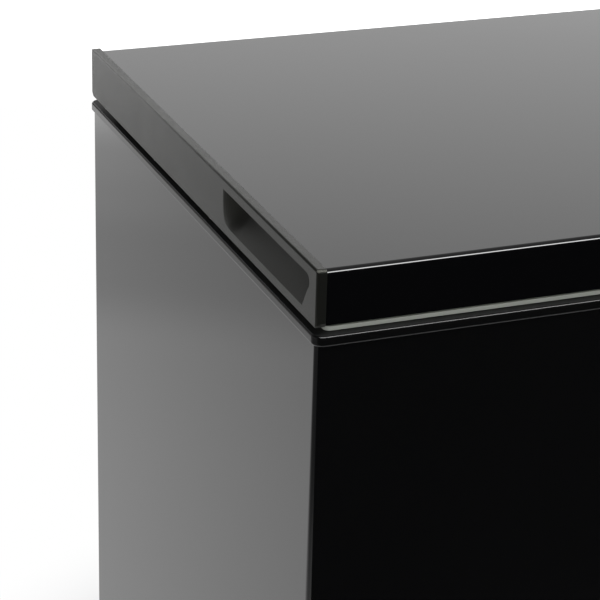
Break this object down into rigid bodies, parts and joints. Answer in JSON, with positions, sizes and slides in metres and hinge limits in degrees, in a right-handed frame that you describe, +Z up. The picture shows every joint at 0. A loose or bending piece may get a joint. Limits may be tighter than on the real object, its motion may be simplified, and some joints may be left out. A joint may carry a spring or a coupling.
{
  "type": "chest freezer",
  "caption": "Chest freezer: steel cabinet with a rear-hinged insulated lid whose moulded end caps have finger scoops, on front feet and rear rollers.",
  "frame": {"origin": "on the floor, at the middle of the bounding box's bottom face", "axes": "+X to the right seen from the front, +Y from the front to the back, +Z up; the front faces -Y"},
  "size_m": [0.905, 0.6414, 0.8465],
  "materials": {
    "black_steel": "satin",
    "black_gloss_steel": "gloss",
    "zinc_sheet": "satin",
    "liner_white": "satin",
    "insulation": "matte",
    "frame_black": "satin",
    "tube_copper": "satin",
    "tube_steel": "satin",
    "compressor_paint": "satin",
    "rubber_black": "matte",
    "zinc_hardware": "satin",
    "plastic_white": "satin",
    "cap_grey": "satin",
    "lamp_lens": "gloss",
    "roller_plastic": "matte",
    "basket_wire": "gloss",
    "gasket_grey": "matte",
    "spring_steel": "polished"
  },
  "bodies": {
    "cabinet": {"outer_wrapper": "black_steel", "back_panel": "zinc_sheet", "base_pan": "zinc_sheet", "inner_liner": "liner_white", "cabinet_foam": "insulation", "top_frame": "frame_black", "bay_partition": "zinc_sheet", "evaporator_tube": "tube_copper", "condenser_tube": "tube_steel", "compressor_lower_shell": "compressor_paint", "compressor_upper_shell": "compressor_paint", "compressor_base_plate": "compressor_paint", "compressor_grommets": "rubber_black", "compressor_bolts": "zinc_hardware", "relay_box": "frame_black", "suction_pipe": "tube_copper", "discharge_pipe": "tube_copper", "drier_filter": "tube_copper", "side_grille": "frame_black", "compressor_cover": "zinc_sheet", "control_bezel": "frame_black", "thermostat_body": "plastic_white", "indicator_lamps": "lamp_lens", "switch_housing": "frame_black", "drain_outlet": "frame_black", "drain_tube": "plastic_white", "cord_gland": "frame_black", "front_feet": "frame_black", "roller_brackets": "zinc_hardware", "roller_axles": "zinc_hardware", "hinge_housing_left": "zinc_hardware", "hinge_housing_right": "zinc_hardware", "hinge_pin_left": "zinc_hardware", "hinge_pin_right": "zinc_hardware", "hinge_cover_left": "frame_black", "hinge_cover_right": "frame_black", "hinge_cabinet_screws": "zinc_hardware"},
    "lid": {"lid_outer_skin": "black_gloss_steel", "lid_cap_left": "cap_grey", "lid_cap_right": "cap_grey", "lid_liner": "liner_white", "lid_foam": "insulation", "lid_gasket": "gasket_grey", "cap_screws": "zinc_hardware", "hinge_lid_screws": "zinc_hardware", "hinge_leaf_left": "zinc_hardware", "hinge_leaf_right": "zinc_hardware"},
    "plunger_left": {"hinge_plunger_left": "plastic_white", "hinge_spring_left": "spring_steel"},
    "plunger_right": {"hinge_plunger_right": "plastic_white", "hinge_spring_right": "spring_steel"},
    "knob": {"thermostat_knob": "cap_grey"},
    "rocker": {"fast_freeze_rocker": "cap_grey"},
    "basket": {"basket_rim": "basket_wire", "basket_walls": "basket_wire", "basket_floor": "basket_wire"},
    "inner_plug": {"drain_plug": "plastic_white"},
    "outer_cap": {"drain_cap": "cap_grey"},
    "roller_left": {"roller_left": "roller_plastic"},
    "roller_right": {"roller_right": "roller_plastic"}
  },
  "joints": [
    {"name": "lid_hinge", "type": "hinge", "parent": "cabinet", "child": "lid", "pos_m": [0, 0.30575, 0.7951], "axis": [-1, 0, 0], "range_deg": [0, 80]},
    {"name": "hinge_plunger_left", "type": "slide", "parent": "cabinet", "child": "plunger_left", "axis": [0, 0, 1], "range_m": [0, 0.00781], "deforming": ["hinge_spring_left"]},
    {"name": "hinge_plunger_right", "type": "slide", "parent": "cabinet", "child": "plunger_right", "axis": [0, 0, 1], "range_m": [0, 0.00781], "deforming": ["hinge_spring_right"]},
    {"name": "thermostat_turn", "type": "hinge", "parent": "cabinet", "child": "knob", "pos_m": [0.2937, -0.31825, 0.103], "axis": [0, 1, 0], "range_deg": [0, 270]},
    {"name": "fast_freeze_rock", "type": "hinge", "parent": "cabinet", "child": "rocker", "pos_m": [0.3837, -0.31105, 0.103], "axis": [1, 0, 0], "range_deg": [0, 10]},
    {"name": "basket_slide", "type": "slide", "parent": "cabinet", "child": "basket", "axis": [-1, 0, 0], "range_m": [0, 0.5274]},
    {"name": "inner_plug_lift", "type": "slide", "parent": "cabinet", "child": "inner_plug", "axis": [0, 0, 1], "range_m": [0, 0.03]},
    {"name": "outer_cap_pull", "type": "slide", "parent": "cabinet", "child": "outer_cap", "axis": [0, -1, 0], "range_m": [0, 0.03]},
    {"name": "roller_spin_left", "type": "hinge", "parent": "cabinet", "child": "roller_left", "pos_m": [-0.3897, 0.22575, 0.014], "axis": [1, 0, 0], "continuous": true},
    {"name": "roller_spin_right", "type": "hinge", "parent": "cabinet", "child": "roller_right", "pos_m": [0.3897, 0.22575, 0.014], "axis": [1, 0, 0], "continuous": true}
  ],
  "couplings": [
    {"joint": "hinge_plunger_left", "follows": "lid_hinge", "m_per_rad": 0.0055243},
    {"joint": "hinge_plunger_right", "follows": "lid_hinge", "m_per_rad": 0.0055243}
  ]
}
